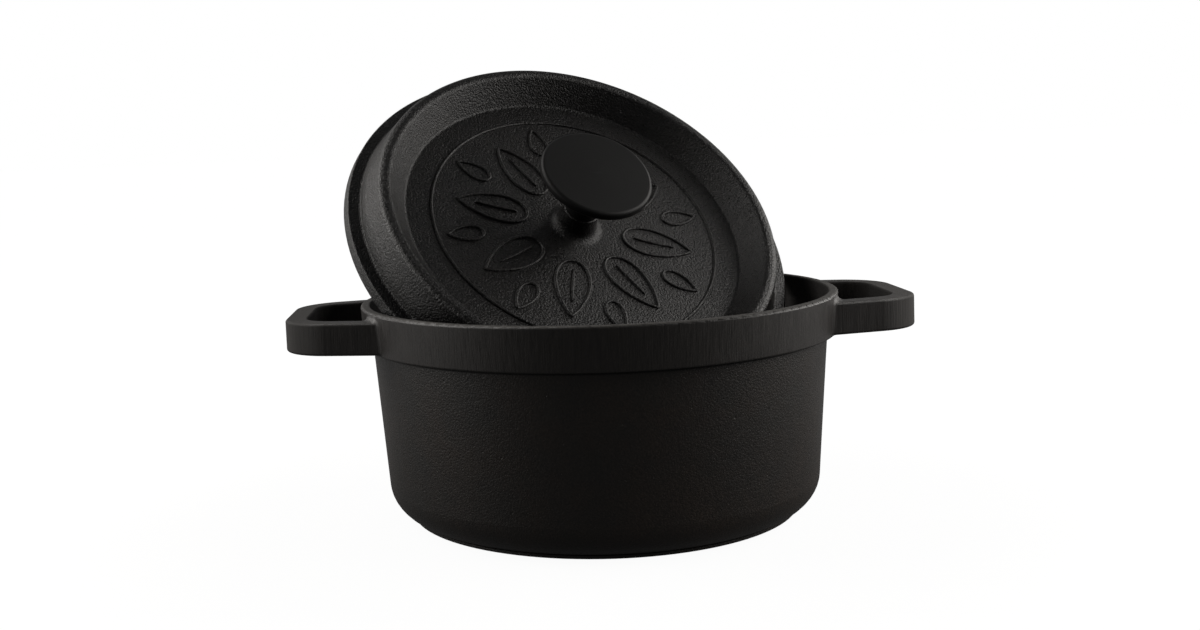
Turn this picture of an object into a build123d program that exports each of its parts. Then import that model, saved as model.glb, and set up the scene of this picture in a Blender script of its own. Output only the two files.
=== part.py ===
from build123d import *
import os
from math import cos, radians, sin, tan

# A round cast-iron pan with two loop handles, and its flanged lid leaning in the mouth.
# Millimetres. The origin is the centre of the pan's foot, +Z is up and X runs along the handles.

# Pan body
pan_height = 112.9
rim_radius = 125.0
rim_bore_radius = 119.9
rim_rounding = 1.3
rim_bore_draft = 0.4
shoulder_low = 2.6
shoulder_high = 8.6
shoulder_rounding = 6.0
collar_height = 21.5
collar_low_radius = 123.75
collar_lip_rounding = 1.0
wall_top_radius = 119.25
wall_draft = 4.09
wall_neck_rounding = 1.2
wall_thickness = 4.0
floor_thickness = 4.8
floor_corner = 14.0
base_corner = 18.0
foot_radius = 102.2
foot_height = 0.8

# Loop handles, cast in one with the collar
handle_top = 108.9
handle_bottom = 92.6
handle_reach = 162.5
handle_end_half_width = 41.9
handle_splay = 12.9
handle_corner = 28.5
handle_bar = 11.5
handle_edge_rounding = 1.4
handle_root_rounding = 3.2
handle_overlap = 25.0
handle_bore_clearance = 2.0

# Lid, in its own frame: h = 0 is the seat that rests on the rim when the lid is on
lid_radius = 125.0
flange_thickness = 6.0
flange_top_radius = 123.7
ring_root_radius = 117.0
ring_draft = 18.2
ring_height = 26.0
ring_inner_radius = 105.0
ring_rounding = 3.2
ring_root_rounding = 1.6
ring_inside_rounding = 2.4
flange_top_rounding = 0.9
flange_low_rounding = 0.6
field_height = 11.5
field_radius = 94.2
field_rounding = 2.0
field_under_rounding = 5.0
lid_wall = 4.0
skirt_radius = 118.6
skirt_depth = 4.5
skirt_draft = 0.6
skirt_thickness = 5.0
skirt_rounding = 1.2
boss_height = 24.0
boss_radius = 9.6
boss_draft = 1.6
boss_flare = 5.5
boss_edge_rounding = 0.8
drip_ridge_radii = (34.0, 56.0, 78.0)
drip_ridge_depth = 1.8
drip_ridge_width = 4.4
drip_ridge_crest = 0.3
washer_pad_radius = 10.0
washer_pad_depth = 1.5
washer_pad_slope = 1.5

# Where the lid leans: the centre of its seat, the tilt of its axis and the way the axis points
lid_centre = (-11.7, 27.5, 139.7)
lid_tilt = 44.7
lid_heading = -67.9

# Knob and its M6 fastening
knob_radius = 30.3
knob_top = 52.5
knob_disc_thickness = 4.6
knob_edge_rounding = 2.0
knob_crown = 0.5
knob_neck_radius = 8.6
knob_neck_foot = 0.6
knob_neck_top = 37.5
knob_underside_sweep = 11.0
thread_radius = 3.0
thread_clearance = 0.05
thread_depth = 12.0
drill_tip = 1.7
lid_hole_radius = 3.4
screw_length = 30.0
screw_point = 0.8
screw_head_radius = 6.0
screw_head_height = 4.6
screw_head_slope = 0.55
screw_crown_rounding = 3.0
screw_shoulder_rounding = 2.2
cross_recess_width = 1.6
cross_recess_span = 6.4
cross_recess_depth = 2.8
washer_radius = 6.0
washer_hole_radius = 3.2
washer_thickness = 1.6
spring_washer_radius = 5.9
spring_washer_gap = 1.2
spring_washer_slant = 20.0


def turned(points, rounds):
    """Solid of revolution about Z. points are (radius, height); rounds maps a point's place to its radius."""
    face = make_face(Polyline(*points, close=True))
    for place, radius in rounds.items():
        corner = face.vertices().sort_by_distance((*points[place], 0))[0]
        face = fillet(corner, radius)
    return revolve(Plane.XZ * face, Axis.Z)


def handle_blank():
    """Plan of one handle along +X: splayed sides, a straight end and wide round corners, as a holed face."""
    root = rim_radius - handle_overlap
    half_root = handle_end_half_width + (handle_reach - root) * tan(radians(handle_splay))
    plan = make_face(
        Polyline(
            (root, -half_root),
            (handle_reach, -handle_end_half_width),
            (handle_reach, handle_end_half_width),
            (root, half_root),
            close=True,
        )
    )
    plan = fillet(plan.vertices().sort_by(Axis.X)[-2:], handle_corner)
    return plan - offset(plan, -handle_bar)


def make_handle():
    """One handle loop with rounded edges, cut back so that its roots end inside the collar's wall."""
    loop = extrude(Pos(0, 0, handle_bottom) * handle_blank(), handle_top - handle_bottom)
    faces = loop.faces().sort_by(Axis.Z)
    rims = [edge for face in (faces[0], faces[-1]) for edge in face.edges()]
    rims = [edge for edge in rims if edge.center().X > rim_bore_radius]
    loop = loop.fillet(handle_edge_rounding, rims)
    bore = Cylinder(rim_bore_radius + handle_bore_clearance, 4 * collar_height)
    return loop - Pos(0, 0, handle_top) * bore


def handle_roots(pan):
    """The edges where the handle bars meet the collar."""
    slack = handle_edge_rounding / 4
    roots = []
    for edge in pan.edges():
        middle = edge.center()
        reach = (middle.X**2 + middle.Y**2) ** 0.5
        on_collar = collar_low_radius - 2 * slack < reach < rim_radius + slack
        beside_handle = abs(middle.Y) > handle_end_half_width / 2 and abs(middle.X) > rim_radius / 2
        if on_collar and beside_handle and handle_bottom - slack < middle.Z < handle_top + slack:
            roots.append(edge)
    return roots


def make_pan():
    """The pan casting: drafted wall, thicker collar at the rim, foot disc and two loop handles."""
    collar_z = pan_height - collar_height
    lean = tan(radians(wall_draft))
    base_radius = wall_top_radius - (collar_z - foot_height) * lean
    bore_radius = wall_top_radius - wall_thickness
    floor_z = foot_height + floor_thickness
    shell = turned(
        [
            (0, foot_height),
            (base_radius, foot_height),
            (wall_top_radius, collar_z),
            (collar_low_radius, collar_z),
            (rim_radius, pan_height),
            (rim_bore_radius, pan_height),
            (rim_bore_radius - rim_bore_draft, collar_z + shoulder_high),
            (bore_radius + shoulder_low * lean, collar_z + shoulder_low),
            (bore_radius - (collar_z - floor_z) * lean, floor_z),
            (0, floor_z),
        ],
        {
            1: base_corner,
            2: wall_neck_rounding,
            3: collar_lip_rounding,
            4: rim_rounding,
            5: rim_rounding,
            6: shoulder_rounding,
            7: shoulder_rounding,
            8: floor_corner,
        },
    )
    foot = Pos(0, 0, foot_height) * Cylinder(foot_radius, 2 * foot_height)
    handle = make_handle()
    pan = shell + foot + handle + handle.mirror(Plane.YZ)
    return pan.fillet(handle_root_rounding, handle_roots(pan))


def drip_ridge(radius):
    """Points of one drip ridge under the lid, from its outer foot to its inner foot."""
    under = field_height - lid_wall
    half = drip_ridge_width / 2
    crest = half * drip_ridge_crest
    return [
        (radius + half, under),
        (radius + crest, under - drip_ridge_depth),
        (radius - crest, under - drip_ridge_depth),
        (radius - half, under),
    ]


def make_lid():
    """The lid casting in its own frame: flange, raised ring, sunk field, flared boss, skirt and drip ridges."""
    under = field_height - lid_wall
    pad = under - washer_pad_depth
    draft = radians(ring_draft)
    ring_corner = ring_root_radius - (ring_height - flange_thickness) * tan(draft)
    inside_corner = ring_corner + lid_wall * (tan(draft) - 1 / cos(draft))
    points = [
        (lid_hole_radius, boss_height),
        (boss_radius, boss_height),
        (boss_radius + boss_draft, field_height),
        (field_radius, field_height),
        (ring_inner_radius, ring_height),
        (ring_corner, ring_height),
        (ring_root_radius, flange_thickness),
        (flange_top_radius, flange_thickness),
        (lid_radius, 0),
        (skirt_radius + skirt_draft, 0),
        (skirt_radius, -skirt_depth),
        (skirt_radius - skirt_thickness, -skirt_depth),
        (inside_corner, ring_height - lid_wall),
        (field_radius + lid_wall / 2, under),
    ]
    rounds = {
        1: boss_edge_rounding,
        2: boss_flare,
        3: field_rounding,
        4: ring_rounding,
        5: ring_rounding,
        6: ring_root_rounding,
        7: flange_top_rounding,
        8: flange_low_rounding,
        9: flange_low_rounding,
        10: skirt_rounding,
        11: skirt_rounding,
        12: ring_inside_rounding,
        13: field_under_rounding,
    }
    for radius in reversed(drip_ridge_radii):
        points += drip_ridge(radius)
    points += [(washer_pad_radius + washer_pad_slope, under), (washer_pad_radius, pad), (lid_hole_radius, pad)]
    return turned(points, rounds)


def make_knob():
    """Disc knob turned from one piece, with a swept underside, a short neck and a blind threaded hole."""
    bore = thread_radius + thread_clearance
    disc_under = knob_top - knob_disc_thickness
    return turned(
        [
            (bore, boss_height),
            (knob_neck_radius + knob_neck_foot, boss_height),
            (knob_neck_radius, knob_neck_top),
            (knob_radius, disc_under),
            (knob_radius, knob_top),
            (0, knob_top + knob_crown),
            (0, boss_height + thread_depth + drill_tip),
            (bore, boss_height + thread_depth),
        ],
        {1: knob_neck_foot, 2: knob_underside_sweep, 3: knob_edge_rounding, 4: knob_edge_rounding},
    )


def washer(outer, inner, top):
    return Pos(0, 0, top - washer_thickness / 2) * (
        Cylinder(outer, washer_thickness) - Cylinder(inner, washer_thickness)
    )


def make_spring_washer(top):
    """A single-coil spring washer pressed flat, with its slanted gap."""
    ring = washer(spring_washer_radius, thread_radius + thread_clearance, top)
    gap = Box(2 * spring_washer_radius, spring_washer_gap, 4 * washer_thickness)
    slanted = Pos(spring_washer_radius, 0, top - washer_thickness / 2) * Rot(spring_washer_slant, 0, 0) * gap
    return ring - slanted


def make_screw(seat):
    """Pan-head M6 screw pointing up, its head's flat against seat, with a cross recess below."""
    low = seat - screw_head_height
    screw = turned(
        [
            (0, low),
            (screw_head_radius * screw_head_slope, low),
            (screw_head_radius, low + screw_head_height * screw_head_slope),
            (screw_head_radius, seat),
            (thread_radius, seat),
            (thread_radius, seat + screw_length - screw_point),
            (thread_radius - screw_point, seat + screw_length),
            (0, seat + screw_length),
        ],
        {1: screw_crown_rounding, 2: screw_shoulder_rounding},
    )
    wing = Box(cross_recess_span, cross_recess_width, 2 * cross_recess_depth)
    recess = wing + Rot(0, 0, 90) * wing
    return screw - Pos(0, 0, low) * recess


tilt, heading = radians(lid_tilt), radians(lid_heading)
lid_place = Plane(
    origin=lid_centre,
    x_dir=(-sin(heading), cos(heading), 0),
    z_dir=(sin(tilt) * cos(heading), sin(tilt) * sin(heading), cos(tilt)),
)
washer_seat = field_height - lid_wall - washer_pad_depth
lid_stack = {
    "lid": make_lid(),
    "knob": make_knob(),
    "flat_washer": washer(washer_radius, washer_hole_radius, washer_seat),
    "spring_washer": make_spring_washer(washer_seat - washer_thickness),
    "knob_screw": make_screw(washer_seat - 2 * washer_thickness),
}

nodes = {"pot": make_pan()}
for name, solid in lid_stack.items():
    nodes[name] = lid_place * solid

os.makedirs("parts", exist_ok=True)
for name, solid in nodes.items():
    export_step(solid, f"parts/{name}.step")
    print(name, "volume", round(solid.volume), "solids", len(solid.solids()))
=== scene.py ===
# %% [markdown]
# # Round cast-iron pan with a leaning lid
#
# A casserole for barbecue and stove: one heavy casting with two loop handles, and a
# lid that leans in its mouth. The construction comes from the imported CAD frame, at
# its real size in metres. This script gives it its surfaces, the raised ornament on
# the lid, the light and the camera.
#
# The frame is loaded first, so that every later step can measure it.

# %% Load the frame
from math import cos, pi, radians, sin

import bpy
from mathutils import Euler, Matrix, Vector


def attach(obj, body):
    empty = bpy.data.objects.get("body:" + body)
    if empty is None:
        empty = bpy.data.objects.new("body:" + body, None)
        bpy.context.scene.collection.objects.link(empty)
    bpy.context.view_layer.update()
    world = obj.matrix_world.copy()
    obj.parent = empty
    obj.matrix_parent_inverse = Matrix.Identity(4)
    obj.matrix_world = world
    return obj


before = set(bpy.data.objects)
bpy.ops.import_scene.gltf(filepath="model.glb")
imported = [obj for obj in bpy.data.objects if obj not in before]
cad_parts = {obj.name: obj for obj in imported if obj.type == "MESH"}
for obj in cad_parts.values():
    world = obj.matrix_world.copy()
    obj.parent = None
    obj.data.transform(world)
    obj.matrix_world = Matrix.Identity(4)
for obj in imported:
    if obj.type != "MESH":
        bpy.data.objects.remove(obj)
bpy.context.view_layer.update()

MM = 0.001

# %% [markdown]
# ## The lid's own frame
#
# The lid leans, so a place on it is easiest to say in its own frame: how far it is
# from the lid's axis, and how high it is above the seat that rests on the rim when
# the lid is on. Three unit vectors carry that frame. The axis comes from the tilt
# and the heading of the lid, and the two others lie in the plane of the seat, one of
# them level with the table.
#
# An empty object as a parent would carry the same frame. Plain vectors are chosen
# because the knob's material and the ornament need them too, as numbers.

# %% Where the lid leans
LID_CENTRE = Vector((-11.7, 27.5, 139.7)) * MM
LID_TILT = radians(44.7)
LID_HEADING = radians(-67.9)
LID_FIELD_HEIGHT = 11.5 * MM

lid_axis = Vector((
    sin(LID_TILT) * cos(LID_HEADING),
    sin(LID_TILT) * sin(LID_HEADING),
    cos(LID_TILT),
))
lid_across = Vector((-sin(LID_HEADING), cos(LID_HEADING), 0))
lid_up = lid_axis.cross(lid_across)


def on_lid(across, up, height):
    """A point of the lid's own frame, in the frame of the whole part."""
    return LID_CENTRE + lid_across * across + lid_up * up + lid_axis * height


lid_corners = [vertex.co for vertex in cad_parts["lid"].data.vertices]
heights = [(corner - LID_CENTRE).dot(lid_axis) / MM for corner in lid_corners]
print("lid reaches from", round(min(heights), 1), "to", round(max(heights), 1), "mm along its axis")

# %% [markdown]
# ## Helpers for materials
#
# Colours are written as sRGB hex values, the numbers that a paint program shows, and
# one function turns them to the linear values that the renderer adds up. A second
# function adds a node, sets it and links it. With these two, a material reads as a
# short recipe.

# %% Colours
def srgb(code):
    """An sRGB hex value such as '#1a1918', as linear red, green, blue and alpha."""
    channels = [int(code[place:place + 2], 16) / 255 for place in (1, 3, 5)]
    linear = [c / 12.92 if c <= 0.04045 else ((c + 0.055) / 1.055) ** 2.4 for c in channels]
    return (*linear, 1.0)


print("the mid grey #808080 is", round(srgb("#808080")[0], 3), "in linear light")


# %% Nodes
def add(tree, kind, links=None, **settings):
    """Adds a node. links maps a socket's name or place to a value or to a node's output."""
    node = tree.nodes.new("ShaderNode" + kind)
    for name, value in settings.items():
        setattr(node, name, value)
    for socket, value in (links or {}).items():
        if isinstance(value, bpy.types.NodeSocket):
            tree.links.new(value, node.inputs[socket])
        else:
            node.inputs[socket].default_value = value
    return node


def new_material(name):
    """An empty material and its node tree."""
    material = bpy.data.materials.new(name)
    material.use_nodes = True
    material.node_tree.nodes.clear()
    print("material", name)
    return material, material.node_tree


# %% [markdown]
# ## Spreading a noise, and a soft step
#
# Most of the detail below comes from noise. A noise in Blender lies about 0.5, nearly
# all of it between 0.3 and 0.7, so a Map Range node that spreads it starts from those
# two. A place on the object, such as everything above a level, comes from a Map Range
# with a smooth step, which is softer than a hard edge.

# %% Settings that several nodes share
NOISE_LOW, NOISE_MIDDLE, NOISE_HIGH = 0.3, 0.5, 0.7
SMOOTH = {"interpolation_type": "SMOOTHSTEP"}


def noise_to(noise, ends):
    """What a Map Range node needs to spread a noise from the first end to the second."""
    return {0: noise, 1: NOISE_LOW, 2: NOISE_HIGH, 3: ends[0], 4: ends[1]}


print("a noise is spread from", NOISE_LOW, "and", NOISE_HIGH)

# %% [markdown]
# ## Sand-cast iron, seasoned
#
# The pan and the lid are grey iron poured into sand. The sand leaves a fine, even
# grain with a few pits, and the faces are a little wavy. Baked oil, the seasoning,
# turns the iron black and satin: it is a thin brown-black film, in patches a little
# browner where it is thick. What the eye meets is that film and not bare metal, so
# the shader isn't metallic.
#
# The grain could be real displacement, but its depth is a few hundredths of a
# millimetre, so bump is right. Its height is worked out in millimetres and the Bump
# node's distance is one millimetre. The real grain is about 0.3 mm wide. It is drawn
# about a millimetre wide and deeper to match, or it would not show at all.

# %% The skin that the sand leaves
PAN_GRAIN_WIDTH = 0.9 * MM
PAN_GRAIN_DEPTH_MM = 0.26
LID_GRAIN_WIDTH = 1.0 * MM
LID_GRAIN_DEPTH_MM = 0.62
WAVE_WIDTH = 9 * MM
WAVE_DEPTH_MM = 0.12
PIT_SPACING = 9 * MM
PIT_RADIUS = 0.07
PIT_DEPTH_MM = 0.25
PATCH_WIDTH = 38 * MM
PATCH_LOW, PATCH_HIGH = 0.35, 0.65


def sand_skin(tree, place, grain_width, grain_depth):
    """Height of the cast skin in millimetres, where its seasoning is thick, and its grain."""
    fine = {"Vector": place, "Scale": 1 / grain_width, "Detail": 2.0, "Roughness": 0.6}
    grain = add(tree, "TexNoise", fine).outputs["Fac"]
    broad = {"Vector": place, "Scale": 1 / WAVE_WIDTH, "Detail": 2.0}
    wave = add(tree, "TexNoise", broad).outputs["Fac"]
    pit = add(tree, "TexVoronoi", {"Vector": place, "Scale": 1 / PIT_SPACING}).outputs["Distance"]
    hole = add(tree, "MapRange", {0: pit, 1: PIT_RADIUS, 2: 0.0, 3: 0.0, 4: PIT_DEPTH_MM}).outputs[0]
    centred = add(tree, "Math", {0: grain, 1: NOISE_MIDDLE}, operation="SUBTRACT").outputs[0]
    rise = add(tree, "Math", {0: centred, 1: grain_depth}, operation="MULTIPLY").outputs[0]
    swell = {0: wave, 1: WAVE_DEPTH_MM, 2: rise}
    swell = add(tree, "Math", swell, operation="MULTIPLY_ADD").outputs[0]
    height = add(tree, "Math", {0: swell, 1: hole}, operation="SUBTRACT").outputs[0]
    slow = {"Vector": place, "Scale": 1 / PATCH_WIDTH, "Detail": 4.0, "Roughness": 0.65}
    patches = add(tree, "TexNoise", slow).outputs["Fac"]
    seasoning = add(tree, "MapRange", {0: patches, 1: PATCH_LOW, 2: PATCH_HIGH}).outputs[0]
    return height, seasoning, grain


print("grain", round(PAN_GRAIN_WIDTH / MM, 1), "mm wide on the pan")
print("grain", round(LID_GRAIN_WIDTH / MM, 1), "mm wide on the lid")

# %% The film of seasoning
# Tone of the grain: the paler tops are partly seasoning worn thin, and the darker hollows partly painted
# shade.
GRAIN_WEAR_AND_SHADE_TONE = (0.5, 1.5)


def seasoned_colour(tree, black, brown, seasoning, grain):
    """Black iron, browner where the oil baked on thick, and paler on the tops of the grain: partly
    seasoning worn thin there, partly painted shade in its hollows.
    """
    film = add(tree, "Mix", {0: seasoning, 6: black, 7: brown}, data_type="RGBA").outputs[2]
    tone = add(tree, "MapRange", noise_to(grain, GRAIN_WEAR_AND_SHADE_TONE)).outputs[0]
    return add(tree, "VectorMath", {0: film, 1: tone}, operation="MULTIPLY").outputs[0]


def coated_surface(tree, colour, roughness, height, gloss):
    """A thin black coat over metal, as one shader. height is in millimetres."""
    bump = add(tree, "Bump", {"Height": height, "Distance": MM}).outputs[0]
    look = {"Base Color": colour, "Roughness": roughness, "Normal": bump, "Specular IOR Level": gloss}
    surface = add(tree, "BsdfPrincipled", look)
    add(tree, "OutputMaterial", {"Surface": surface.outputs[0]})


print("tops of the grain are", GRAIN_WEAR_AND_SHADE_TONE[1] / GRAIN_WEAR_AND_SHADE_TONE[0], "times as pale as its hollows")

# %% [markdown]
# ## Where the pan is ground
#
# After casting, the collar and the handles of the pan are ground, which leaves fine
# upright scratches. A brushed metal is often made with an anisotropic shader. Here
# the scratches themselves have to show, so they are a noise that is stretched along
# the way the tool moved: the place is multiplied by a large number across the
# scratch and a small one along it.

# %% Marks of grinding
SCRATCH_WIDTH = 0.7 * MM
SCRATCH_LENGTH = 24 * MM
SCRATCH_DEPTH_MM = 0.16


def upright_scratches(tree, place):
    """Fine scratches that run up and down a standing face, from 0 to 1."""
    stretch = (1 / SCRATCH_WIDTH, 1 / SCRATCH_WIDTH, 1 / SCRATCH_LENGTH)
    stretched = add(tree, "VectorMath", {0: place, 1: stretch}, operation="MULTIPLY").outputs[0]
    lines = {"Vector": stretched, "Scale": 1.0, "Detail": 3.0, "Roughness": 0.7}
    return add(tree, "TexNoise", lines).outputs["Fac"]


print("scratches are", round(SCRATCH_LENGTH / SCRATCH_WIDTH), "times as long as wide")

# %% [markdown]
# ## The places of the pan
#
# Both castings share the skin, but the pan has places of its own. A place is a number
# from 0 to 1 that mixes two looks. The pan is ground from the lower edge of its collar
# up, painted near black as shade in the crease right below that edge, where the
# collar's lip shades the wall, and worn through in ragged spots along its rim. All
# three come from the height over the table, because the collar and both handles lie
# above one level. The ends of the handles are ground coarser, which comes from how far
# aside they are. The inside is dull from cooking, which comes from the way a wall
# faces.
# Separate material slots would need edges where one look stops, and these fade.

# %% Levels and distances on the pan
GROUND_FROM, GROUND_TO = 91.3 * MM, 91.9 * MM
CREASE_FROM, CREASE_TO = 89.2 * MM, 90.7 * MM
RIM_FROM, RIM_TO = 111.3 * MM, 112.6 * MM
WEAR_WIDTH = 2.5 * MM
WORN_FROM, WORN_TO = 1.3, 1.6
GRIP_FROM, GRIP_TO = 138 * MM, 156 * MM
INWARD_FULL, INWARD_NONE = -60 * MM, -20 * MM


def places_on_pan(tree, place):
    """Where the pan is ground, painted with shade in the crease under the collar, worn bare and gripped,
    each from 0 to 1.
    """
    sideways, _, level = add(tree, "SeparateXYZ", {0: place}).outputs
    ground = add(tree, "MapRange", {0: level, 1: GROUND_FROM, 2: GROUND_TO}, **SMOOTH).outputs[0]
    below = add(tree, "Math", {0: 1.0, 1: ground}, operation="SUBTRACT").outputs[0]
    # Painted shade: a near-black band in the crease just under the collar's lip, where shade falls.
    crease = add(tree, "MapRange", {0: level, 1: CREASE_FROM, 2: CREASE_TO}, **SMOOTH).outputs[0]
    painted_crease_shade = add(tree, "Math", {0: crease, 1: below}, operation="MULTIPLY").outputs[0]
    on_rim = add(tree, "MapRange", {0: level, 1: RIM_FROM, 2: RIM_TO}, **SMOOTH).outputs[0]
    spots = {"Vector": place, "Scale": 1 / WEAR_WIDTH, "Detail": 3.0}
    ragged = add(tree, "TexNoise", spots).outputs["Fac"]
    worn = add(tree, "Math", {0: ragged, 1: on_rim}, operation="ADD").outputs[0]
    worn = add(tree, "MapRange", {0: worn, 1: WORN_FROM, 2: WORN_TO}, **SMOOTH).outputs[0]
    aside = add(tree, "Math", {0: sideways}, operation="ABSOLUTE").outputs[0]
    gripped = add(tree, "MapRange", {0: aside, 1: GRIP_FROM, 2: GRIP_TO}, **SMOOTH).outputs[0]
    return ground, painted_crease_shade, worn, gripped


def faces_inwards(tree, place):
    """1 on a wall that faces the axis of the pan, and 0 on one that faces outwards."""
    facing = add(tree, "TexCoord").outputs["Normal"]
    off_axis = add(tree, "VectorMath", {0: place, 1: (1, 1, 0)}, operation="MULTIPLY").outputs[0]
    outward = {0: facing, 1: off_axis}
    outward = add(tree, "VectorMath", outward, operation="DOT_PRODUCT").outputs["Value"]
    inward = {0: outward, 1: INWARD_FULL, 2: INWARD_NONE, 3: 1.0, 4: 0.0}
    return add(tree, "MapRange", inward, **SMOOTH).outputs[0]


print("ground from", round(GROUND_FROM / MM, 1), "mm up, and worn from", round(RIM_FROM / MM, 1), "mm up")

# %% [markdown]
# ## Iron of the pan
#
# One material covers the whole casting, as on the real one, where nothing is painted
# or let in. It starts from the cast skin and lays one place over another, first in
# colour and then in roughness. The film of oil has the gloss of any varnish and the
# roughness of satin paint. The ground faces are as black, in fine pale and dark
# streaks. The crease under the collar is painted near black as shade, and it and the
# worn spots on the rim are rougher, so they catch less of the light.

# %% The pan's material
IRON_BLACK = srgb("#191715")
IRON_BROWN = srgb("#221b16")
IRON_GROUND = srgb("#1e1b19")
IRON_BARE = srgb("#302e2b")
# The colour of the painted shade in the crease under the collar, not a colour of the iron itself.
CREASE_SHADE_BLACK = srgb("#050505")
STREAK_TONE = (0.55, 1.45)
PAN_GLOSS = 0.5
CAST_ROUGHNESS = (0.36, 0.5)
CUT_ROUGHNESS = (0.35, 0.58)
GRIP_ROUGHNESS = 0.8
CREASE_ROUGHNESS = 0.95
WORN_ROUGHNESS = 0.75
INSIDE_ROUGHNESS = 0.9


def sand_cast_pan():
    """Seasoned sand-cast iron, ground from the collar up, and worn bare along its rim."""
    material, tree = new_material("sand_cast_iron_pan")
    place = add(tree, "TexCoord").outputs["Object"]
    skin, seasoning, grain = sand_skin(tree, place, PAN_GRAIN_WIDTH, PAN_GRAIN_DEPTH_MM)
    ground, painted_crease_shade, worn, gripped = places_on_pan(tree, place)
    inside = faces_inwards(tree, place)
    scratches = upright_scratches(tree, place)

    cut = add(tree, "Math", {0: scratches, 1: NOISE_MIDDLE}, operation="SUBTRACT").outputs[0]
    cut = add(tree, "Math", {0: cut, 1: SCRATCH_DEPTH_MM}, operation="MULTIPLY").outputs[0]
    height = add(tree, "Mix", {0: ground, 2: skin, 3: cut}).outputs[0]

    tone = add(tree, "MapRange", noise_to(scratches, STREAK_TONE)).outputs[0]
    filed = add(tree, "VectorMath", {0: IRON_GROUND[:3], 1: tone}, operation="MULTIPLY").outputs[0]
    colour = seasoned_colour(tree, IRON_BLACK, IRON_BROWN, seasoning, grain)
    # The crease under the collar gets painted shade, and the rim's worn spots get paler bare iron.
    for part, over in ((ground, filed), (painted_crease_shade, CREASE_SHADE_BLACK), (worn, IRON_BARE)):
        colour = add(tree, "Mix", {0: part, 6: colour, 7: over}, data_type="RGBA").outputs[2]

    filed_roughness = add(tree, "MapRange", noise_to(scratches, CUT_ROUGHNESS)).outputs[0]
    roughness = add(tree, "MapRange", noise_to(grain, CAST_ROUGHNESS)).outputs[0]
    layers = (
        (ground, filed_roughness),
        (gripped, GRIP_ROUGHNESS),
        (painted_crease_shade, CREASE_ROUGHNESS),
        (worn, WORN_ROUGHNESS),
        (inside, INSIDE_ROUGHNESS),
    )
    for part, over in layers:
        roughness = add(tree, "Mix", {0: part, 2: roughness, 3: over}).outputs[0]
    coated_surface(tree, colour, roughness, height, PAN_GLOSS)
    return material


pan_iron = sand_cast_pan()

# %% [markdown]
# ## Iron of the lid
#
# The lid isn't ground, and its film of oil is blacker than the pan's and has less
# gloss. It lies flatter to the light, where a skin looks smoother than it is, so its
# grain is drawn deeper.

# %% The lid's material
LID_BLACK = srgb("#0a0a0a")
LID_BROWN = srgb("#0f0d0c")
LID_GLOSS = 0.3
LID_ROUGHNESS = (0.24, 0.46)


def sand_cast_lid():
    """Seasoned sand-cast iron, as it left the sand."""
    material, tree = new_material("sand_cast_iron_lid")
    place = add(tree, "TexCoord").outputs["Object"]
    height, seasoning, grain = sand_skin(tree, place, LID_GRAIN_WIDTH, LID_GRAIN_DEPTH_MM)
    colour = seasoned_colour(tree, LID_BLACK, LID_BROWN, seasoning, grain)
    roughness = add(tree, "MapRange", noise_to(grain, LID_ROUGHNESS)).outputs[0]
    coated_surface(tree, colour, roughness, height, LID_GLOSS)
    return material


lid_iron = sand_cast_lid()

# %% [markdown]
# ## The knob
#
# The knob is turned, then coated with a black stove enamel that is baked on. It is
# far smoother than the castings: its face is one even grey under soft light, with a
# faint orange-peel from spraying and a trace of the rings that the tool left.
#
# A ring texture would have to be turned to the leaning lid. It is simpler to measure
# how far a point is from the lid's axis, by a cross product, and to take a noise of
# that distance. The real rings are about 0.2 mm apart and are drawn a millimetre wide.

# %% Rings of turning
TURNING_WIDTH = 1.1 * MM
TURNING_DEPTH_MM = 0.03


def turning_marks(tree, place):
    """Fine rings round the knob's own axis, from 0 to 1."""
    from_centre = add(tree, "VectorMath", {0: place, 1: LID_CENTRE}, operation="SUBTRACT").outputs[0]
    sweep = {0: from_centre, 1: lid_axis}
    sweep = add(tree, "VectorMath", sweep, operation="CROSS_PRODUCT").outputs[0]
    radius = add(tree, "VectorMath", {0: sweep}, operation="LENGTH").outputs["Value"]
    rings = {"W": radius, "Scale": 1 / TURNING_WIDTH, "Detail": 3.0, "Roughness": 0.7}
    return add(tree, "TexNoise", rings, noise_dimensions="1D").outputs["Fac"]


print("rings of turning", round(TURNING_WIDTH / MM, 1), "mm wide")

# %% Black stove enamel
ENAMEL_BLACK = srgb("#171717")
ENAMEL_GLOSS = 0.14
ENAMEL_ROUGHNESS = (0.4, 0.52)
PEEL_WIDTH = 1.6 * MM
PEEL_DEPTH_MM = 0.02


def stove_enamel():
    """Satin black enamel with a faint orange-peel, over the marks of turning."""
    material, tree = new_material("stove_enamel_black")
    place = add(tree, "TexCoord").outputs["Object"]
    peel = {"Vector": place, "Scale": 1 / PEEL_WIDTH, "Detail": 2.0}
    peel = add(tree, "TexNoise", peel).outputs["Fac"]
    rings = turning_marks(tree, place)
    cut = add(tree, "Math", {0: rings, 1: TURNING_DEPTH_MM}, operation="MULTIPLY").outputs[0]
    height = {0: peel, 1: PEEL_DEPTH_MM, 2: cut}
    height = add(tree, "Math", height, operation="MULTIPLY_ADD").outputs[0]
    roughness = add(tree, "MapRange", noise_to(rings, ENAMEL_ROUGHNESS)).outputs[0]
    coated_surface(tree, ENAMEL_BLACK, roughness, height, ENAMEL_GLOSS)
    return material


knob_enamel = stove_enamel()

# %% [markdown]
# ## The fastening
#
# The screw and its washers are stainless steel, tumbled bright. They sit under the
# lid, out of the photograph's view, but they show from below. Tumbling leaves fine
# scuffs in every direction, so a plain noise in the roughness is enough. This is bare
# metal, so the shader is metallic and its colour is what it reflects.

# %% Stainless steel
STEEL = srgb("#c2c0bb")
STEEL_ROUGHNESS = (0.22, 0.38)
SCUFF_WIDTH = 0.5 * MM


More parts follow.
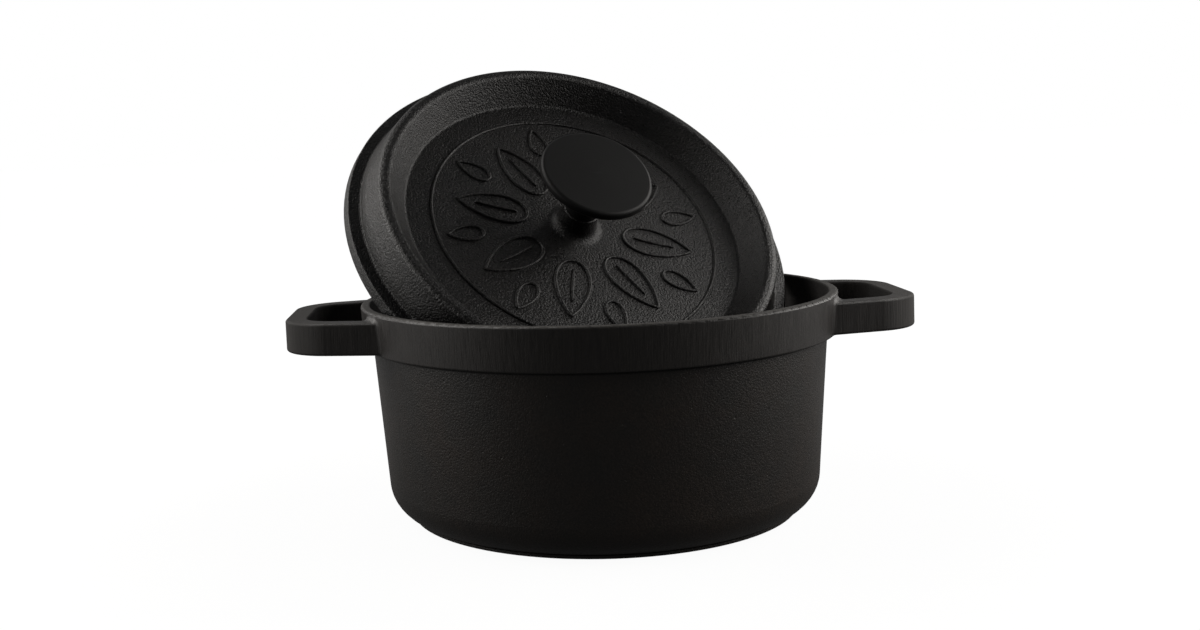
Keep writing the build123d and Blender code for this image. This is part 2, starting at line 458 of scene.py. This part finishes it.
def stainless_steel():
    """Tumbled stainless steel with fine random scuffs."""
    material, tree = new_material("stainless_steel_tumbled")
    place = add(tree, "TexCoord").outputs["Object"]
    scuffs = {"Vector": place, "Scale": 1 / SCUFF_WIDTH, "Detail": 3.0}
    scuffs = add(tree, "TexNoise", scuffs).outputs["Fac"]
    roughness = add(tree, "MapRange", noise_to(scuffs, STEEL_ROUGHNESS)).outputs[0]
    look = {"Base Color": STEEL, "Metallic": 1.0, "Roughness": roughness}
    surface = add(tree, "BsdfPrincipled", look)
    add(tree, "OutputMaterial", {"Surface": surface.outputs[0]})
    return material


steel = stainless_steel()

# %% [markdown]
# ## Dressing the pieces
#
# The shapes of all six pieces are right as they come from the CAD, so they stay, and
# only their material slots are filled. A piece that stood in for one of them would
# add nothing.

# %% Put the materials on the castings and the fastening
coats = {
    "pot": pan_iron,
    "lid": lid_iron,
    "knob": knob_enamel,
    "flat_washer": steel,
    "spring_washer": steel,
    "knob_screw": steel,
}
for node, material in coats.items():
    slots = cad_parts[node].data.materials
    slots.clear()
    slots.append(material)
print("dressed", sorted(coats), "of", sorted(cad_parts))

# %% [markdown]
# ## The ornament on the lid
#
# Cast-iron lids often carry a raised ornament in their sunk field. It is in the
# pattern that the sand is pressed from, so it is as rough as the field, it stands
# about a millimetre proud, and its edges are rounded so that the pattern draws out
# of the sand. This one is a traditional rosette: eight petals with a vein, a leaf
# between each two, and a ring round them all.
#
# It could be carved into the lid's mesh, but the CAD lid stays as it is. So each line
# of the ornament is a low ridge of its own: a domed section that follows a path over
# the field, with its underside sunk a little into the lid.

# %% One raised line
RIDGE_HEIGHT = 1.0 * MM
RIDGE_SINK = 0.2 * MM
RIDGE_STEPS = 6


def ridge(path, widths, closed):
    """Corners and faces of a domed ridge along a path of (across, up) points on the field."""
    corners, faces = [], []
    count = len(path)
    # A section has the corners of its dome, and two more under them.
    ring = RIDGE_STEPS + 1 + 2
    for place, (here, width) in enumerate(zip(path, widths)):
        ahead = path[(place + 1) % count] if closed else path[min(place + 1, count - 1)]
        behind = path[place - 1] if closed else path[max(place - 1, 0)]
        along = (ahead - behind).normalized()
        side = Vector((-along.y, along.x))
        for step in range(RIDGE_STEPS + 1):
            turn = pi * step / RIDGE_STEPS
            spot = here + side * (cos(turn) * width / 2)
            rise = sin(turn) * RIDGE_HEIGHT * min(1.0, width / RIDGE_HEIGHT)
            corners.append(on_lid(spot.x, spot.y, LID_FIELD_HEIGHT + rise))
        for half in (-width / 2, width / 2):
            spot = here + side * half
            corners.append(on_lid(spot.x, spot.y, LID_FIELD_HEIGHT - RIDGE_SINK))
    spans = count if closed else count - 1
    for span in range(spans):
        low, high = span * ring, (span + 1) % count * ring
        for step in range(ring):
            after = (step + 1) % ring
            faces.append((low + step, low + after, high + after, high + step))
    if not closed:
        faces.append(tuple(reversed(range(ring))))
        faces.append(tuple(range((count - 1) * ring, count * ring)))
    return corners, faces


print("a ridge has", RIDGE_STEPS + 1, "corners over its dome")

# %% [markdown]
# ## Petals, veins and a ring
#
# The lines of the rosette are curves in the flat of the field. A petal is an ellipse
# whose width fades towards its outer tip, so a formula draws it, and the leaves
# between are the same curve, smaller. All eight are one petal that is turned round.

# %% Outlines on the field
RIDGE_WIDTH = 1.9 * MM
OUTLINE_STEPS = 72
POINTEDNESS = 0.7
VEIN_STEPS = 14
VEIN_TIP = 0.25


def turned_by(points, angle):
    """Points on the field, turned round the lid's axis."""
    turn = Matrix.Rotation(angle, 2)
    return [turn @ point for point in points]


def leaf_outline(inner, outer, half_width):
    """A leaf shape that points outwards: an ellipse whose width fades towards its outer tip."""
    middle, reach = (inner + outer) / 2, (outer - inner) / 2
    points = []
    for step in range(OUTLINE_STEPS):
        turn = 2 * pi * (step + 0.5) / OUTLINE_STEPS
        fade = abs(sin(turn / 2)) ** POINTEDNESS
        points.append(Vector((middle + reach * cos(turn), half_width * sin(turn) * fade)))
    return points


def vein(inner, outer):
    """A straight line outwards, with widths that taper towards both ends."""
    points, widths = [], []
    for step in range(VEIN_STEPS + 1):
        swell = sin(pi * (step + 1) / (VEIN_STEPS + 2))
        points.append(Vector((inner + (outer - inner) * step / VEIN_STEPS, 0)))
        widths.append(RIDGE_WIDTH * (VEIN_TIP + (1 - VEIN_TIP) * swell))
    return points, widths


def circle(radius, steps):
    """Points on a circle round the middle."""
    turns = [2 * pi * step / steps for step in range(steps)]
    return [Vector((radius * cos(turn), radius * sin(turn))) for turn in turns]


print("a raised line is", round(RIDGE_WIDTH / MM, 1), "mm wide")

# %% The rosette's lines
PETALS = 8
PETAL_INNER, PETAL_OUTER, PETAL_HALF_WIDTH = 27 * MM, 66 * MM, 11.5 * MM
VEIN_INNER, VEIN_OUTER = PETAL_INNER + 6 * MM, PETAL_OUTER - 10 * MM
LEAF_INNER, LEAF_OUTER, LEAF_HALF_WIDTH = 54 * MM, 74 * MM, 6 * MM
RING_RADIUS = 80 * MM
RING_STEPS = 180

lines = []
for petal in range(PETALS):
    angle = 2 * pi * (petal + 0.5) / PETALS
    outline = leaf_outline(PETAL_INNER, PETAL_OUTER, PETAL_HALF_WIDTH)
    lines.append((turned_by(outline, angle), [RIDGE_WIDTH] * OUTLINE_STEPS, True))
    points, widths = vein(VEIN_INNER, VEIN_OUTER)
    lines.append((turned_by(points, angle), widths, False))
    outline = leaf_outline(LEAF_INNER, LEAF_OUTER, LEAF_HALF_WIDTH)
    lines.append((turned_by(outline, angle + pi / PETALS), [RIDGE_WIDTH] * OUTLINE_STEPS, True))
lines.append((circle(RING_RADIUS, RING_STEPS), [RIDGE_WIDTH] * RING_STEPS, True))
print("rosette of", len(lines), "lines")

# %% Join the lines into one ornament
corners, faces = [], []
for path, widths, closed in lines:
    more_corners, more_faces = ridge(path, widths, closed)
    faces += [tuple(index + len(corners) for index in face) for face in more_faces]
    corners += more_corners
mesh = bpy.data.meshes.new("lid_rosette")
mesh.from_pydata(corners, [], faces)
mesh.shade_smooth()
mesh.materials.append(lid_iron)
rosette = bpy.data.objects.new("lid_rosette", mesh)
bpy.context.scene.collection.objects.link(rosette)
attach(rosette, "lid")
print("rosette has", len(faces), "faces")

# %% [markdown]
# ## The floor and the room
#
# The pan stands in a white studio. What the camera sees of the floor and the room
# glows until it is white, and a reflection sees a part of that glow: more of it
# behind the pan than in front, where the studio is dark. None of it lights the pan.
# The floor is a plain surface under the glow, lit as any other, so it keeps the pan's
# shadow, and the room itself gives a dim, even light.
#
# Brighter lamps would make the floor white too, but they would turn black iron grey.
# A Light Path node tells the camera's rays from the others, and leaves the light as
# it is.

# %% White for the eye, without more light on the pan
ROOM_LIGHT = 0.05
SHINE_IN_FRONT = 0.055
SHINE_BEHIND = 0.17


def seen_directly(tree, depth, ends):
    """1 for what the camera or glass sees, a part of it in a reflection, and else 0.

    The part grows with depth, from the first end to the second."""
    rays = add(tree, "LightPath").outputs
    part = {0: depth, 1: ends[0], 2: ends[1], 3: SHINE_IN_FRONT, 4: SHINE_BEHIND}
    part = add(tree, "MapRange", part, **SMOOTH).outputs[0]
    shine = add(tree, "Math", {0: rays["Is Glossy Ray"], 1: part}, operation="MULTIPLY").outputs[0]
    seen = {0: rays["Is Camera Ray"], 1: shine}
    seen = add(tree, "Math", seen, operation="MAXIMUM").outputs[0]
    seen = {0: seen, 1: rays["Is Transmission Ray"]}
    return add(tree, "Math", seen, operation="MAXIMUM").outputs[0]


print("a reflection sees", SHINE_IN_FRONT, "of the white in front and", SHINE_BEHIND, "behind")

# %% The room
ROOM_DEPTHS = (-0.1, 0.5)

world = bpy.data.worlds.new("studio_room")
bpy.context.scene.world = world
world.use_nodes = True
tree = world.node_tree
tree.nodes.clear()
direction = add(tree, "TexCoord").outputs["Generated"]
backwards = add(tree, "SeparateXYZ", {0: direction}).outputs["Y"]
seen = seen_directly(tree, backwards, ROOM_DEPTHS)
level = add(tree, "Mix", {0: seen, 2: ROOM_LIGHT, 3: 1.0}).outputs[0]
glow = add(tree, "Background", {"Color": (1, 1, 1, 1), "Strength": level})
add(tree, "OutputWorld", {"Surface": glow.outputs[0]})
print("room light", ROOM_LIGHT)

# %% The floor's shape
FLOOR_RINGS = (0.6, 1.5, 4.0, 14.0)
FLOOR_SIDES = 96


def floor_mesh():
    """A round floor of rings, fine near the pan and coarse far away."""
    points = [(0, 0, 0)]
    for radius in FLOOR_RINGS:
        points += [(*spot, 0) for spot in circle(radius, FLOOR_SIDES)]
    sides = range(FLOOR_SIDES)
    polygons = [(0, 1 + side, 1 + (side + 1) % FLOOR_SIDES) for side in sides]
    for ring in range(len(FLOOR_RINGS) - 1):
        low, high = 1 + ring * FLOOR_SIDES, 1 + (ring + 1) * FLOOR_SIDES
        for side in sides:
            after = (side + 1) % FLOOR_SIDES
            polygons.append((low + side, high + side, high + after, low + after))
    mesh = bpy.data.meshes.new("studio_floor")
    mesh.from_pydata(points, [], polygons)
    return mesh


print("floor reaches", FLOOR_RINGS[-1], "m")

# %% The floor's paper
PAPER = srgb("#464646")
GLOW_NEAR, GLOW_FAR = 0.95, 1.0
NEAR, FAR = 0.2, 0.8
FLOOR_DEPTHS = (-0.1, 0.3)


def floor_paper():
    """Paper that keeps the pan's shadow, and glows white to the eye."""
    material, tree = new_material("studio_paper")
    place = add(tree, "TexCoord").outputs["Object"]
    reach = add(tree, "VectorMath", {0: place}, operation="LENGTH").outputs["Value"]
    glow = add(tree, "MapRange", {0: reach, 1: NEAR, 2: FAR, 3: GLOW_NEAR, 4: GLOW_FAR}).outputs[0]
    backwards = add(tree, "SeparateXYZ", {0: place}).outputs["Y"]
    seen = seen_directly(tree, backwards, FLOOR_DEPTHS)
    strength = add(tree, "Math", {0: glow, 1: seen}, operation="MULTIPLY").outputs[0]
    paper = add(tree, "BsdfDiffuse", {"Color": PAPER})
    white = add(tree, "Emission", {"Color": (1, 1, 1, 1), "Strength": strength})
    both = add(tree, "AddShader", {0: paper.outputs[0], 1: white.outputs[0]})
    add(tree, "OutputMaterial", {"Surface": both.outputs[0]})
    material.cycles.emission_sampling = "NONE"
    return material


floor = bpy.data.objects.new("studio_floor", floor_mesh())
floor.data.materials.append(floor_paper())
bpy.context.scene.collection.objects.link(floor)

# %% [markdown]
# ## The light
#
# Black iron shows its form by what it reflects. A large soft box stands high on each
# side of the pan, and a weaker one low down below it. So the sides of the pan and the
# ring of the lid turn grey, while the front, which faces the dark side of the room,
# stays black. The two high ones are bright enough to draw the edges of the castings,
# and the two low ones carry the grey on down to the foot.
#
# A picture of a sky would light it in one go, but then no single edge could be tuned.
# Places and sizes of the lamps are in metres.

# %% Soft boxes
WARM_WHITE = (1.0, 0.97, 0.935)
PAN_MIDDLE = Vector((0, 0, 0.1))


def soft_box(name, place, width, height, brightness):
    """An area light that faces the pan. brightness is its radiance, where 1 is white."""
    light = bpy.data.lights.new(name, "AREA")
    light.color = WARM_WHITE
    light.shape = "RECTANGLE"
    light.size = width
    light.size_y = height
    light.energy = brightness * pi * width * height
    lamp = bpy.data.objects.new(name, light)
    lamp.location = place
    lamp.rotation_euler = (PAN_MIDDLE - Vector(place)).to_track_quat("-Z", "Y").to_euler()
    lamp.visible_camera = False
    bpy.context.scene.collection.objects.link(lamp)
    print(name, "at", place, "with a radiance of", brightness)


soft_box("soft_box_right", (0.75, 0.03, 0.5), width=1.1, height=0.55, brightness=4.3)
soft_box("soft_box_left", (-0.68, 0.18, 0.6), width=0.78, height=0.75, brightness=3.5)
soft_box("soft_box_left_low", (-0.83, -0.08, 0.19), width=0.75, height=0.35, brightness=1.4)
soft_box("soft_box_right_low", (0.84, 0.05, 0.19), width=0.85, height=0.35, brightness=0.8)

# %% [markdown]
# ## The camera
#
# The camera stands in front of the pan, a little above the rim, and is tipped a
# little to one side. Its place and angles were measured by fitting the rim, the
# collar, the outline and the handles of the pan to where the photograph shows them.
# The fit also puts the middle of the lens a little off the middle of the frame, as in
# a cropped picture, and the lens shift carries that.

# %% Camera at the photograph's viewing angle
CAMERA_PLACE = Vector((-60.21, -733.15, 200.52)) * MM
CAMERA_DOWN = radians(5.366)
CAMERA_AROUND = radians(-1.276)
CAMERA_ROLL = radians(-2.387)
FOCAL_LENGTH = 41.726
SENSOR_WIDTH = 36.0
IMAGE_WIDTH, IMAGE_HEIGHT = 1200, 630
LENS_CENTRE_X, LENS_CENTRE_Y = 512.8, 261.3

lens = bpy.data.cameras.new("camera")
lens.sensor_width = SENSOR_WIDTH
lens.lens = FOCAL_LENGTH
lens.shift_x = (IMAGE_WIDTH / 2 - LENS_CENTRE_X) / IMAGE_WIDTH
lens.shift_y = (LENS_CENTRE_Y - IMAGE_HEIGHT / 2) / IMAGE_WIDTH
camera = bpy.data.objects.new("camera", lens)
facing = Euler((pi / 2 - CAMERA_DOWN, 0, CAMERA_AROUND)).to_matrix().to_4x4()
tipped = Matrix.Rotation(CAMERA_ROLL, 4, "Z")
camera.matrix_world = Matrix.Translation(CAMERA_PLACE) @ facing @ tipped
bpy.context.scene.collection.objects.link(camera)
bpy.context.scene.camera = camera
bpy.context.scene.view_settings.view_transform = "Standard"
print("camera at", [round(value, 3) for value in camera.matrix_world.translation])
